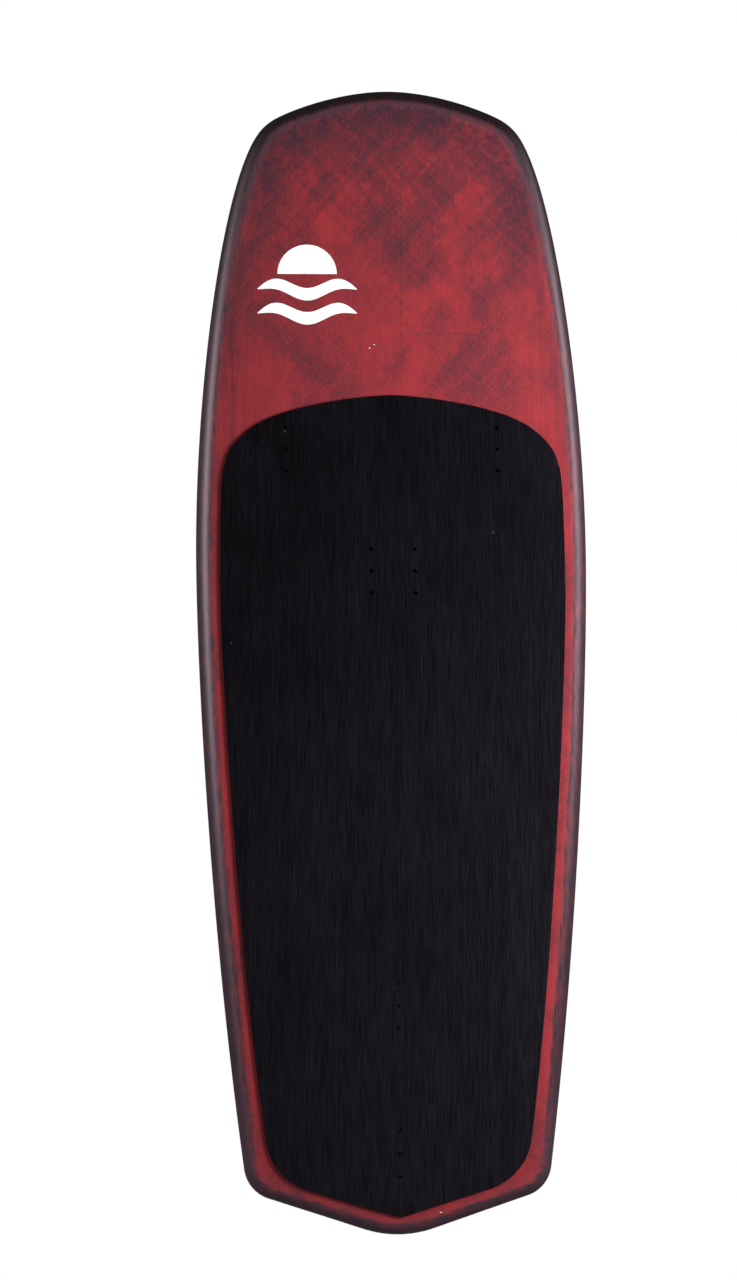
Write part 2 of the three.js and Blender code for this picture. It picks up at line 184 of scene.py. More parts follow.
def pad_outline():
    width = PAD_BOX[1].x
    tail_y = -0.630
    quarter = rounded_corner((0.1782, -0.337), (0.1409, -0.587), (0, tail_y), 0.064)
    return mirrored([
        bezier((0, PAD_FRONT_Y), (0.020, PAD_FRONT_Y), (0.120, 0.2834), (0.1583, 0.2557)),
        bezier((0.1583, 0.2557), (0.1872, 0.235), (0.1878, 0.2194), (0.1913, 0.2089)),
        bezier((0.1913, 0.2089), (0.1942, 0.201), (width, 0.143), (width, 0.071)),
        bezier((width, 0.071), (width, 0.012), (0.1782, -0.337), quarter[0]),
        quarter,
        half_tip(quarter[-1], tail_y, 0.024),
    ])


def rounded_rectangle(width, length, radius, steps=8):
    """A clockwise rectangle with rounded corners, centred on the origin."""
    x, y = width / 2, length / 2
    corners = [(x, y), (x, -y), (-x, -y), (-x, y)]
    sides = zip(corners[-1:] + corners[:-1], corners, corners[1:] + corners[:1])
    return np.vstack([rounded_corner(*side, radius, steps) for side in sides])


def circle(radius, steps=32):
    angle = -2 * math.pi * np.arange(steps) / steps
    return radius * np.column_stack([np.cos(angle), np.sin(angle)])


def inset_outline(outline, inset):
    """A closed clockwise outline moved inwards by inset, so that its edges stay parallel."""
    arriving = outline - np.roll(outline, 1, axis=0)
    leaving = np.roll(outline, -1, axis=0) - outline
    arriving /= np.linalg.norm(arriving, axis=1)[:, None]
    leaving /= np.linalg.norm(leaving, axis=1)[:, None]
    inwards = np.column_stack([arriving[:, 1] + leaving[:, 1], -arriving[:, 0] - leaving[:, 0]])
    inwards /= np.linalg.norm(inwards, axis=1)[:, None]
    stretch = 1 / (arriving[:, 1] * inwards[:, 0] - arriving[:, 0] * inwards[:, 1])
    return outline + inwards * (inset * stretch)[:, None]


# ---------------------------------------------------------------- the hull's shape


def smoothstep(value, low, high):
    t = np.clip((value - low) / (high - low), 0, 1)
    return t * t * (3 - 2 * t)


def along_board(y, size):
    """A size that holds over the middle of the board and changes smoothly towards each end."""
    end = np.where(y > 0, size["nose"], size["tail"])
    return size["middle"] + (end - size["middle"]) * smoothstep(np.abs(y), RAIL_CHANGE_START, NOSE_Y)


def deck_height(y):
    share = np.maximum(0, y - DECK_RISE_START) / (NOSE_Y - DECK_RISE_START)
    return THICKNESS + DECK_RISE * share**2


def bottom_height(y):
    rocker = np.maximum(0, y - ROCKER_START) / (NOSE_Y - ROCKER_START)
    kick = np.maximum(0, TAIL_KICK_START - y) / (NOSE_Y + TAIL_KICK_START)
    return ROCKER * rocker**ROCKER_POWER + TAIL_KICK * kick**2


BOARD_OUTLINE = board_outline()
PAD_OUTLINE = pad_outline()


def hull_ring(side, turn, depth):
    """A ring on the surface that lies depth inside the hull. turn is 0 at the rail's apex, and 1 where
    the rail meets the deck (side 1) or the bottom (side -1)."""
    angle = turn * math.pi / 2
    rail = along_board(BOARD_OUTLINE[:, 1], DECK_RAIL if side > 0 else BOTTOM_RAIL)
    x, y = inset_outline(BOARD_OUTLINE, depth + (rail - depth) * (1 - math.cos(angle))).T
    low, high = bottom_height(y), deck_height(y)
    apex = low + (high - low) * RAIL_APEX_SHARE
    edge = high - depth if side > 0 else low + depth
    return np.column_stack([x, y, apex + (edge - apex) * math.sin(angle)])


def hull_rings(side, depth):
    return [hull_ring(side, step / RAIL_STEPS, depth) for step in range(RAIL_STEPS + 1)]


# ---------------------------------------------------------------- mesh building


def new_object(name, mesh):
    made = bpy.data.objects.new(name, mesh)
    bpy.context.scene.collection.objects.link(made)
    return made


def mesh_object(name, points, faces):
    """A closed mesh as an object, with its faces turned outwards."""
    mesh = bpy.data.meshes.new(name)
    mesh.from_pydata([tuple(point) for point in points], [], faces)
    work = bmesh.new()
    work.from_mesh(mesh)
    bmesh.ops.recalc_face_normals(work, faces=work.faces)
    work.to_mesh(mesh)
    work.free()
    return new_object(name, mesh)


def ring_faces(count, rings):
    """The quads between rings of count points each."""
    faces = []
    for ring in range(rings - 1):
        for i in range(count):
            a, b = ring * count + i, ring * count + (i + 1) % count
            faces.append((a, b, b + count, a + count))
    return faces


def capped_loft(name, rings):
    """A closed body through rings, with one flat face on the first and one on the last ring."""
    count = len(rings[0])
    faces = ring_faces(count, len(rings))
    faces.append(tuple(range(count)))
    faces.append(tuple(range((len(rings) - 1) * count, len(rings) * count)))
    return mesh_object(name, np.vstack(rings), faces)


def gridded_loft(name, rings, across):
    """A closed body through mirrored rings, capped across the first and last ring with a grid of quads."""
    count = len(rings[0])
    points = [tuple(point) for point in np.vstack(rings)]
    faces = ring_faces(count, len(rings))
    for base in (0, (len(rings) - 1) * count):
        rows = []
        for i in range(1, count // 2):
            starboard, port = base + i, base + count - i
            shares = np.arange(1, across)[:, None] / across
            made = np.array(points[starboard]) * (1 - shares) + np.array(points[port]) * shares
            rows.append([starboard, *range(len(points), len(points) + across - 1), port])
            points.extend(tuple(point) for point in made)
        nose, tail = base, base + count // 2
        for one, other in zip(rows, rows[1:]):
            faces.extend((one[k], one[k + 1], other[k + 1], other[k]) for k in range(across))
        faces.extend((nose, rows[0][k], rows[0][k + 1]) for k in range(across))
        faces.extend((tail, rows[-1][k + 1], rows[-1][k]) for k in range(across))
    return mesh_object(name, points, faces)


def at_height(outline, z):
    return np.column_stack([outline, np.full(len(outline), z)])


def edge_steps(edge, steps=4):
    """(inset, depth) pairs down a rounded edge, from its face to its side."""
    angles = np.linspace(0, math.pi / 2, steps + 1)
    return [(edge * (1 - math.sin(angle)), edge * (1 - math.cos(angle))) for angle in angles]


def plate(name, outline, low, high, low_edge, high_edge):
    """An outline made into a plate with rounded edges."""
    bottom = [at_height(inset_outline(outline, inset), low + depth) for inset, depth in edge_steps(low_edge)]
    top = [at_height(inset_outline(outline, inset), high - depth) for inset, depth in edge_steps(high_edge)]
    return capped_loft(name, bottom + top[::-1])


def moved(thing, x, y):
    thing.data.transform(Matrix.Translation((x, y, 0)))
    return thing


def joined(name, things):
    """One object that holds the meshes of several, which it uses up."""
    work = bmesh.new()
    for thing in things:
        work.from_mesh(thing.data)
        bpy.data.objects.remove(thing)
    mesh = bpy.data.meshes.new(name)
    work.to_mesh(mesh)
    work.free()
    return new_object(name, mesh)


def combined(target, operation, tool):
    """target with the solid tool cut away (DIFFERENCE) or added (UNION). The tool is used up."""
    modifier = target.modifiers.new("solid", "BOOLEAN")
    modifier.operation = operation
    modifier.solver = "MANIFOLD"
    modifier.object = tool
    depsgraph = bpy.context.evaluated_depsgraph_get()
    mesh = bpy.data.meshes.new_from_object(target.evaluated_get(depsgraph))
    target.modifiers.clear()
    target.data = mesh
    bpy.data.objects.remove(tool)
    return target


def cut(target, tools):
    return combined(target, "DIFFERENCE", joined("tool", tools))


def smooth(thing):
    thing.data.shade_smooth()
    thing.data.set_sharp_from_angle(angle=SHARP_ANGLE)
    return thing


def set_material(thing, name):
    thing.data.materials.clear()
    thing.data.materials.append(MATERIALS[name])


def finished_piece(thing, material, body, node):
    """Gives a piece its material, attaches it to its body, and hides the CAD node it stands for."""
    set_material(thing, material)
    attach(thing, body)
    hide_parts(node)
    return thing


def threaded_rod(name, thread, low, high, steps=24, rows_per_turn=6):
    """A closed rod with a helical thread, for cutting a threaded bore."""
    rows = math.ceil((high - low) / thread["pitch"] * rows_per_turn)
    heights = np.linspace(low, high, rows + 1)
    angle = 2 * math.pi * np.arange(steps) / steps
    rings = []
    for z in heights:
        turn = z / thread["pitch"] - angle / (2 * math.pi)
        wave = np.abs(2 * (turn % 1) - 1)
        radius = thread["minor"] + (thread["major"] - thread["minor"]) * np.clip(1.3 * wave - 0.15, 0, 1)
        rings.append(np.column_stack([radius * np.cos(angle), radius * np.sin(angle), np.full(steps, z)]))
    return capped_loft(name, rings)


def box_middle(node):
    low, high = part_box(node)
    return (low + high) / 2


# ---------------------------------------------------------------- materials


class Signal:
    """A value in a material's node graph. Arithmetic on signals adds the nodes that do it."""

    def __init__(self, graph, socket):
        self.graph = graph
        self.socket = socket

    def __add__(self, other):
        return self.graph.math("ADD", self, other)

    def __sub__(self, other):
        return self.graph.math("SUBTRACT", self, other)

    def __rsub__(self, other):
        return self.graph.math("SUBTRACT", other, self)

    def __mul__(self, other):
        return self.graph.math("MULTIPLY", self, other)

    def __truediv__(self, other):
        return self.graph.math("DIVIDE", self, other)

    __radd__ = __add__


class Graph:
    """The node graph of one material. Places are in the model's frame, in metres."""

    def __init__(self, name):
        self.material = bpy.data.materials.new(name)
        self.material.use_nodes = True
        self.tree = self.material.node_tree
        self.tree.nodes.clear()
        self.place = Signal(self, self.tree.nodes.new("ShaderNodeTexCoord").outputs["Object"])

    def add(self, kind, inputs, output=0, **settings):
        node = self.tree.nodes.new(kind)
        for name, value in settings.items():
            setattr(node, name, value)
        for key, value in inputs.items():
            self.feed(node.inputs[key], value)
        return Signal(self, node.outputs[output])

    def feed(self, socket, value):
        if isinstance(value, Signal):
            self.tree.links.new(value.socket, socket)
        elif socket.type == "RGBA":
            socket.default_value = (*value, 1)
        else:
            socket.default_value = value

    def math(self, operation, *values):
        return self.add("ShaderNodeMath", dict(enumerate(values)), operation=operation)

    def axes(self):
        split = self.add("ShaderNodeSeparateXYZ", {0: self.place}).socket.node
        return [Signal(self, output) for output in split.outputs]

    def attribute(self, name):
        return self.add("ShaderNodeAttribute", {}, "Fac", attribute_name=name)

    def stretched(self, sizes, turn=0, shift=0):
        """Places measured in the given sizes along the axes, turned about Z by turn degrees."""
        inputs = {
            "Vector": self.place,
            "Location": (shift, shift, shift),
            "Rotation": (0, 0, math.radians(turn)),
            "Scale": sizes,
        }
        return self.add("ShaderNodeMapping", inputs, vector_type="TEXTURE")

    def noise(self, sizes, turn=0, detail=2, roughness=0.5, shift=0):
        inputs = {
            "Vector": self.stretched(sizes, turn, shift),
            "Scale": 1,
            "Detail": detail,
            "Roughness": roughness,
        }
        return self.add("ShaderNodeTexNoise", inputs)

    def cells(self, size, feature, output="Distance"):
        inputs = {"Vector": self.stretched((size, size, size)), "Scale": 1}
        return self.add("ShaderNodeTexVoronoi", inputs, output, feature=feature)

    def between(self, low, high, value):
        """0 below low, 1 above high, and smooth between them."""
        inputs = {"Value": value, "From Min": low, "From Max": high}
        return self.add("ShaderNodeMapRange", inputs, interpolation_type="SMOOTHSTEP")

    def wave(self, position, pitch):
        """A sine of the given pitch, from 0 to 1."""
        return self.math("SINE", position * (2 * math.pi / pitch)) * 0.5 + 0.5

    def mix(self, share, one, other, blend="MIX"):
        """The colour one, with a share of the colour other over it."""
        inputs = {0: share, 6: one, 7: other}
        return self.add("ShaderNodeMix", inputs, 2, data_type="RGBA", blend_type=blend)

    def shaded(self, colour, factor):
        """A colour times a factor."""
        grey = self.add("ShaderNodeCombineXYZ", {0: factor, 1: factor, 2: factor})
        return self.mix(1.0, colour, grey, "MULTIPLY")

    def bump(self, height, depth):
        """A normal for a height from 0 to 1 that stands depth metres high."""
        return self.add("ShaderNodeBump", {"Height": height, "Distance": depth})

    def finish(self, colour, roughness, **others):
        """Ends the graph with a surface. Other inputs of the surface are named with _ for spaces."""
        inputs = {"Base Color": colour, "Roughness": roughness}
        inputs.update({name.replace("_", " "): value for name, value in others.items()})
        surface = self.add("ShaderNodeBsdfPrincipled", inputs)
        self.add_output(surface)
        return self.material

    def add_output(self, surface):
        output = self.tree.nodes.new("ShaderNodeOutputMaterial")
        self.tree.links.new(surface.socket, output.inputs["Surface"])


VIVID_RED = (0.300, 0.030, 0.036)
MAROON = (0.150, 0.024, 0.030)
SLATE = (0.034, 0.023, 0.034)
NOSE_SHADE_BLACK = (0.012, 0.006, 0.008)
RAIL_SHEEN = (1.0, 0.80, 0.90)
CARBON, CARBON_OVER = (0.016, 0.016, 0.018), (0.030, 0.029, 0.032)
CHIP_WHITE = (0.80, 0.78, 0.76)
PAD_BLACK, PAD_GREY = (0.0024, 0.0022, 0.0031), (0.0104, 0.0092, 0.0124)
DUST_GREY = (0.25, 0.23, 0.23)
PRINT_WHITE, PRINT_WORN = (0.93, 0.94, 0.93), (0.70, 0.58, 0.58)
BEAD, BEAD_JOINT = (0.82, 0.81, 0.76), (0.62, 0.61, 0.56)
FOAM_WALL, FOAM_CELL_SHADE = (0.60, 0.50, 0.27), (0.44, 0.35, 0.17)
INSERT_STEEL, NUT_STEEL = (0.50, 0.51, 0.53), (0.56, 0.57, 0.59)
PLASTIC_BLACK, PLASTIC_SCUFF = (0.011, 0.011, 0.012), (0.06, 0.06, 0.062)

# Places where hands and feet have rubbed the tint, as x, y, length, width and the turn in degrees from
# starboard.
RUBS = [
    (0.082, 0.340, 0.060, 0.010, 46),
    (0.104, 0.322, 0.050, 0.009, 46),
    (0.012, 0.335, 0.060, 0.010, 52),
    (-0.118, 0.350, 0.060, 0.014, -48),
    (-0.085, 0.330, 0.040, 0.012, -50),
    (0.112, 0.410, 0.045, 0.012, 45),
    (0.020, 0.420, 0.050, 0.014, 50),
    (0.026, 0.480, 0.090, 0.016, 55),
    (-0.020, 0.500, 0.070, 0.020, 48),
    (-0.050, 0.560, 0.080, 0.012, 46),
    (-0.095, 0.590, 0.060, 0.012, 46),
    (0.012, 0.585, 0.080, 0.020, 40),
    (0.070, 0.575, 0.060, 0.016, -44),
    (0.115, 0.560, 0.050, 0.014, -46),
    (0.120, 0.500, 0.040, 0.014, 40),
    (-0.150, 0.480, 0.040, 0.014, 60),
]

# The seam of the cloth runs along the nose.
SEAM = {"x": 0.0125, "low": 0.293, "high": 0.634, "width": 1.1 * MM, "fade": 10 * MM}

# Thin curved scratches, as the centre and radius of their circle and the x at their two ends.
SCRATCHES = [
    (0.050, 0.175, 0.212, -0.082, 0.021),
    (0.060, 0.180, 0.186, 0.020, 0.105),
]

# Chips in the lacquer and crumbs on the pad, as x, y, half length and half width.
DECK_CHIPS = [
    (-0.0241, 0.3480, 0.8 * MM, 0.7 * MM),
    (-0.0187, 0.3520, 0.6 * MM, 0.7 * MM),
    (0.0455, -0.6250, 1.3 * MM, 0.6 * MM),
]
PAD_CRUMBS = [
    (-0.147, 0.239, 0.5 * MM, 0.5 * MM),
    (-0.122, 0.2505, 0.5 * MM, 0.9 * MM),
    (0.114, 0.134, 0.7 * MM, 0.9 * MM),
    (-0.183, 0.009, 0.5 * MM, 0.8 * MM),
]


def spots(g, x, y, marks):
    """The sum of soft oval marks, each from 0 to 1. A mark may have a turn as its last value."""
    total = None
    for mark_x, mark_y, length, width, *turn in marks:
        angle = math.radians(turn[0]) if turn else 0
        c, s = math.cos(angle), math.sin(angle)
        along = ((x - mark_x) * c + (y - mark_y) * s) / length
        over = ((y - mark_y) * c - (x - mark_x) * s) / width
        mark = g.math("EXPONENT", (along * along + over * over) * -1.0)
        total = mark if total is None else total + mark
    return total


def scratches(g, x, y):
    """Thin arcs that fade out at both ends, from 0 to 1."""
    fade = 12 * MM
    total = None
    for centre_x, centre_y, radius, first_x, last_x in SCRATCHES:
        across, along = x - centre_x, y - centre_y
        away = g.math("ABSOLUTE", g.math("SQRT", across * across + along * along) - radius)
        line = 1 - g.between(0.2 * MM, 0.7 * MM, away)
        ends = g.between(first_x, first_x + fade, x) * (1 - g.between(last_x - fade, last_x, x))
        mark = line * ends * g.between(centre_y, centre_y + MM, y)
        total = mark if total is None else total + mark
    return total


def deck_patterns(g):
    """Places on the deck, and the patterns from 0 to 1 that its colours share."""
    x, y, _ = g.axes()
    wander = g.noise((0.03, 0.05, 0.03), detail=1)
    return SimpleNamespace(
        x=x,
        y=y,
        rim=g.attribute("rim"),
        nose=g.between(0.30, 0.62, y),
        ribs=g.wave(x + wander * 0.6 * MM, RIB_PITCH),
        weft=g.wave(y, WEFT_PITCH),
        thread=g.noise((1.0 * MM, 16 * MM, 10 * MM), detail=3, roughness=0.6),
        grit=g.noise((1.3 * MM, 1.5 * MM, 1 * MM), detail=2, roughness=0.6, shift=7.7),
        speckle=g.noise((4.2 * MM, 5.4 * MM, 6 * MM), detail=5, roughness=0.78),
        cloud=g.noise((0.065, 0.100, 0.1), detail=3, roughness=0.55),
        patch=g.noise((0.030, 0.045, 0.1), detail=3, roughness=0.6, shift=2.9),
    )


def seam(g, deck):
    """A faint straight seam in the cloth, from 0 to 1, broken up by the speckle."""
    line = 1 - g.between(0.0, SEAM["width"], g.math("ABSOLUTE", deck.x - SEAM["x"]))
    start = g.between(SEAM["low"], SEAM["low"] + SEAM["fade"], deck.y)
    end = 1 - g.between(SEAM["high"] - SEAM["fade"], SEAM["high"], deck.y)
    return line * start * end * g.between(0.40, 0.60, deck.speckle)


def deck_wear(g, deck):
    """How worn the red tint is: clouds, slanted brush marks, streaks beside the pad and rubbed places."""
    hatch_up = g.noise((0.026, 2.4 * MM, 0.02), turn=46, detail=2, roughness=0.6)
    hatch_down = g.noise((0.026, 2.4 * MM, 0.02), turn=-46, detail=2, roughness=0.6, shift=3.7)
    hatch = (hatch_up - 0.5) * deck.cloud + (hatch_down - 0.5) * deck.patch
    smear_up = g.noise((0.070, 0.009, 0.02), turn=47, detail=3, roughness=0.6, shift=5.5)
    smear_down = g.noise((0.060, 0.009, 0.02), turn=-47, detail=3, roughness=0.6, shift=8.1)
    smear = (smear_up + smear_down - 1.0) * deck.nose
    streaks = g.noise((6 * MM, 0.150, 0.02), detail=2, roughness=0.6, shift=7.1)
    beside = (1 - g.between(0.030, 0.070, deck.rim)) * g.between(0.10, 0.20, deck.y) * (1 - deck.nose)
    rubbed = spots(g, deck.x, deck.y, RUBS)

    worn = deck.cloud * 0.6 + deck.patch * 0.4 + deck.nose * 0.05 + rubbed * 0.12
    worn = g.between(0.42, 0.62, worn)
    marks = (deck.speckle - 0.5) * 1.2 + (deck.grit - 0.5) * 1.3 + hatch * 1.35 + rubbed * 0.20
    soiling = (deck.cloud - 0.5) * 0.85 + (deck.patch - 0.5) * 0.45
    soiling = soiling + smear * 1.1 + (streaks - 0.35) * beside * 1.2
    return soiling + marks * (0.26 + worn * 0.74) + worn * 0.12 + deck.nose * 0.10 + 0.05


def red_tint(g, deck):
    """The tint over the cloth: red, dulled to maroon and then rubbed to slate as it wears, with painted
    light that brightens it to starboard.
    """
    wear = deck_wear(g, deck)
    colour = g.mix(g.between(-0.40, 0.45, wear) * 0.9, VIVID_RED, MAROON)
    colour = g.mix(g.between(0.12, 1.05, wear) * 0.75, colour, SLATE)
    line = g.math("MAXIMUM", seam(g, deck), scratches(g, deck.x, deck.y) * 0.7)
    colour = g.mix(line * 0.75, colour, SLATE)
    cloth = 0.55 + deck.ribs * 0.20 + deck.weft * 0.12 + deck.thread * 0.40 + deck.grit * 0.42
    # The deck.x term is painted light: the tint gets brighter to starboard, where the key light stands.
    return g.shaded(colour, cloth + deck.x * 0.75)


def veiled_nose(g, deck, colour):
    """A colour under the slate veil that thins out from the nose's edge, with a painted highlight as a pale
    ring along the rail.
    """
    veil = (1 - g.between(0.026, 0.080, deck.rim + (deck.patch - 0.5) * 0.05)) * deck.nose
    veil = veil * (0.36 + g.between(0.38, 0.60, deck.patch * 0.5 + deck.speckle * 0.5) * 0.54)
    highlight_ring_end = g.between(0.016, 0.026, deck.rim + (deck.patch - 0.5) * 0.01)
    # The ring is a painted highlight: lighter, brightened slate where the nose's rail would mirror a light.
    ring = deck.nose * g.between(0.011, 0.015, deck.rim) * (1 - highlight_ring_end)
    colour = g.mix(g.math("MAXIMUM", veil, ring * 0.85), colour, SLATE)
    return g.shaded(colour, 1 + ring * 0.35)


def dark_rail(g, deck):
    """The rail's colour, slate with flecks of tint, with painted shade at the nose's rim, a painted
    highlight just inside it and painted light at the tail, and its cover of the deck, which frays inwards.
    """
    inside = g.attribute("inside_band")
    tail = 1 - g.between(-0.60, -0.42, deck.y)
    ragged = g.noise((0.009, 0.022, 0.02), detail=5, roughness=0.62, shift=1.3)
    flecks = g.noise((2.2 * MM, 20 * MM, 8 * MM), detail=5, roughness=0.7, shift=6.3)
    brushed = g.noise((14 * MM, 4 * MM, 8 * MM), detail=4, roughness=0.7, shift=4.4)
    flecks = flecks * (1 - tail) + brushed * tail
    fray = (ragged - 0.5) * (4 * MM + deck.nose * 8 * MM) + (flecks - 0.5) * 9 * MM
    cover = 1 - g.between(-4.0 * MM, 1.5 * MM, inside + fray)

    islands = g.noise((0.010, 0.034, 0.02), detail=5, roughness=0.7, shift=5.1)
    inner = g.between(-13 * MM, -2 * MM, inside)
    island = g.between(0.43, 0.60, islands * 0.4 + flecks * 0.6) * (0.32 + inner * 0.62)
    # tip is painted shade: the rim of the nose's rail, turned away from the lights, is made near black, with
    # fewer flecks, and darkened again at the end.
    tip = deck.nose * (1 - g.between(0.010, 0.016, deck.rim))
    # highlight_behind_tip is a painted highlight: lighter slate just inside the nose's dark rim.
    highlight_behind_tip = deck.nose * g.between(0.009, 0.014, deck.rim)
    colour = g.mix(tip * 0.9, SLATE, NOSE_SHADE_BLACK)
    # The tail term is painted light: the slate at the tail is lightened as if lit from behind.
    colour = g.shaded(colour, 0.42 + deck.speckle * 0.45 + tail * 0.55 + highlight_behind_tip * 0.7)
    colour = g.mix(island * (1 - tail * 0.25) * (1 - tip * 0.6), colour, MAROON)
    return g.shaded(colour, 1 - tip * 0.5), cover


def tinted_carbon():
    """Red tint over ribbed cloth, rubbed to slate in slanted hatching, with a ragged dark rail all round."""
    g = Graph("tinted_carbon")
    deck = deck_patterns(g)
    rail_colour, rail_cover = dark_rail(g, deck)
    colour = veiled_nose(g, deck, red_tint(g, deck))
    colour = g.mix(rail_cover, colour, rail_colour)
    colour = g.mix(g.between(0.3, 0.6, spots(g, deck.x, deck.y, DECK_CHIPS)), colour, CHIP_WHITE)

    gloss = 1 - g.between(0.014, 0.027, deck.rim)
    level = 0.04 + gloss * 0.96
    roughness = 0.46 + deck.thread * 0.06 + deck.cloud * 0.06 - gloss * 0.07
    cloth = deck.ribs * 0.7 + deck.thread * 0.3 + deck.weft * 0.15
    normal = g.bump(cloth, 0.02 * MM)
    return g.finish(colour, roughness, Normal=normal, Specular_IOR_Level=level, Specular_Tint=RAIL_SHEEN)


def dark_carbon():
    """Twill carbon under a satin coat."""
    g = Graph("dark_carbon")
    x, y, z = g.axes()
    # Height counts as distance outwards, so that the cloth runs up the rails and both ends.
    across = x + z * (g.between(-0.15, 0.15, x) * 2 - 1)
    along = y + z * (g.between(0.58, 0.65, y) + g.between(-0.65, -0.58, y) - 1)
    slant = g.wave(across + along, 4 * TOW)
    warp = g.wave(across, TOW)
    weft = g.wave(along, TOW)
    over = g.between(0.45, 0.55, slant)
    tone = g.noise((0.05, 0.05, 0.05), detail=4)
    scuff = g.noise((2 * MM, 0.05, 0.02), detail=3, shift=2.0)
    colour = g.mix(over, CARBON, CARBON_OVER)
    colour = g.shaded(colour, 0.75 + tone * 0.5)
    normal = g.bump(over * warp + (1 - over) * weft, 0.04 * MM)
    roughness = 0.30 + g.between(0.55, 0.75, scuff) * 0.18 + tone * 0.06
    return g.finish(colour, roughness, Normal=normal, Coat_Weight=0.35, Coat_Roughness=0.18)


def eva_pad():
    """Closed-cell foam, brushed along the board, with painted light that makes it a little paler towards the
    tail and to starboard.
    """
    g = Graph("eva_pad")
    x, y, _ = g.axes()
    fine = g.noise((1.3 * MM, 34 * MM, 10 * MM), detail=3, roughness=0.5)
    broad = g.noise((9 * MM, 160 * MM, 10 * MM), detail=2, shift=4.2)
    pores = g.noise((0.5 * MM, 0.5 * MM, 0.5 * MM), detail=3, roughness=0.7)
    grain = g.noise((1.6 * MM, 1.9 * MM, 1 * MM), detail=2, roughness=0.6, shift=2.2)
    tone = g.noise((0.05, 0.10, 0.1), detail=3, shift=8.0)
    dust = g.between(0.735, 0.80, g.noise((1.3 * MM, 1.6 * MM, 2 * MM), detail=2, shift=9.0))
    streak = g.between(0.32, 0.72, fine * 0.5 + broad * 0.15 + grain * 0.35)
    colour = g.mix(streak, PAD_BLACK, PAD_GREY)
    painted_light_to_tail = 1 - g.between(-0.55, 0.25, y)
    # The tail gradient and the x term here are painted light: the pad gets paler towards the tail and to
    # starboard.
    colour = g.shaded(colour, 0.44 + tone * 0.8 + painted_light_to_tail * 0.55 + x * 0.9)
    colour = g.mix(dust * 0.10, colour, DUST_GREY)
    colour = g.mix(spots(g, x, y, PAD_CRUMBS) * 0.12, colour, CHIP_WHITE)
    height = pores * 0.5 + fine * 0.5
    roughness = 0.86 + pores * 0.1
    return g.finish(colour, roughness, Normal=g.bump(height, 0.12 * MM), Specular_IOR_Level=0.05)


def print_white():
    """White screen print, thin enough to take the cloth's ribs, with a little wear."""
    g = Graph("print_white")
    x, _, _ = g.axes()
    thread = g.noise((1.1 * MM, 22 * MM, 10 * MM), detail=3)
    wear = g.between(0.70, 0.80, g.noise((1.5 * MM, 2.5 * MM, 3 * MM), detail=3, shift=6.0))
    colour = g.mix(wear * 0.35, PRINT_WHITE, PRINT_WORN)
    normal = g.bump(g.wave(x, RIB_PITCH) * 0.7 + thread * 0.3, 0.015 * MM)
    return g.finish(colour, 0.42 + thread * 0.1, Normal=normal)


def core_foam():
    """Expanded polystyrene: pressed beads with dark joints."""
    g = Graph("core_foam")
    bead_size = 3.2 * MM
    inner = g.between(0.0, 0.10, g.cells(bead_size, "DISTANCE_TO_EDGE"))
    tint = g.cells(bead_size, "F1", "Color")
    tone = g.add("ShaderNodeSeparateColor", {0: tint}) * 0.08 + 0.92
    colour = g.mix(inner, BEAD_JOINT, BEAD)
    return g.finish(g.shaded(colour, tone), 0.9, Normal=g.bump(inner, 0.3 * MM))


def dense_foam():
    """Cut PVC foam: small open cells in a yellow-brown body, with painted shade in the cells."""
    g = Graph("dense_foam")
    cell = g.between(0.0, 0.25, g.cells(0.9 * MM, "DISTANCE_TO_EDGE"))
    tone = g.noise((0.02, 0.03, 0.02), detail=3)
    # The cells take the darker colour: painted shade in their hollows.
    colour = g.mix(cell, FOAM_WALL, FOAM_CELL_SHADE)
    return g.finish(g.shaded(colour, 0.85 + tone * 0.3), 0.88, Normal=g.bump(1 - cell, 0.25 * MM))


def brushed_steel(name, colour, grain):
    """Turned or brushed stainless steel, with its grain drawn out along the given sizes."""
    g = Graph(name)
    line = g.noise(grain, detail=4, roughness=0.65)
    stain = g.noise((6 * MM, 6 * MM, 6 * MM), detail=3, shift=2.5)
    tone = g.shaded(colour, 0.85 + line * 0.2 + stain * 0.1)
    return g.finish(tone, 0.24 + line * 0.18 + stain * 0.08, Metallic=1.0, Normal=g.bump(line, 0.02 * MM))


def track_plastic():
    """Moulded black plastic: a fine spark-eroded texture with scuffs along the slot."""
    g = Graph("track_plastic")
    erosion = g.noise((0.4 * MM, 0.4 * MM, 0.4 * MM), detail=3, roughness=0.7)
    scuff = g.between(0.62, 0.78, g.noise((0.8 * MM, 18 * MM, 3 * MM), detail=3, shift=1.0))
    flow = g.noise((0.02, 0.05, 0.02), detail=2)
    colour = g.mix(scuff * 0.35, PLASTIC_BLACK, PLASTIC_SCUFF)
    colour = g.shaded(colour, 0.8 + flow * 0.4)
    return g.finish(colour, 0.46 + erosion * 0.12 + scuff * 0.1, Normal=g.bump(erosion, 0.05 * MM))


MATERIALS = {
    "tinted_carbon": tinted_carbon(),
    "dark_carbon": dark_carbon(),
    "eva_pad": eva_pad(),
    "print_white": print_white(),
    "core_foam": core_foam(),
    "dense_foam": dense_foam(),
    "insert_steel": brushed_steel("insert_steel", INSERT_STEEL, (3 * MM, 3 * MM, 0.15 * MM)),
    "track_plastic": track_plastic(),
    "nut_steel": brushed_steel("nut_steel", NUT_STEEL, (0.2 * MM, 8 * MM, 2 * MM)),
}

# ---------------------------------------------------------------- skins


INSERTS = sorted(name for name in frame["nodes"] if name.startswith("insert_"))


def screw_holes(radius, low, high):
    """A round tool over each insert, for cutting its screw hole between two heights."""
    holes = []
    for name in INSERTS:
        place = box_middle(name)
        hole = capped_loft("hole", [at_height(circle(radius), z) for z in (low, high)])
        holes.append(moved(hole, place.x, place.y))
    return holes


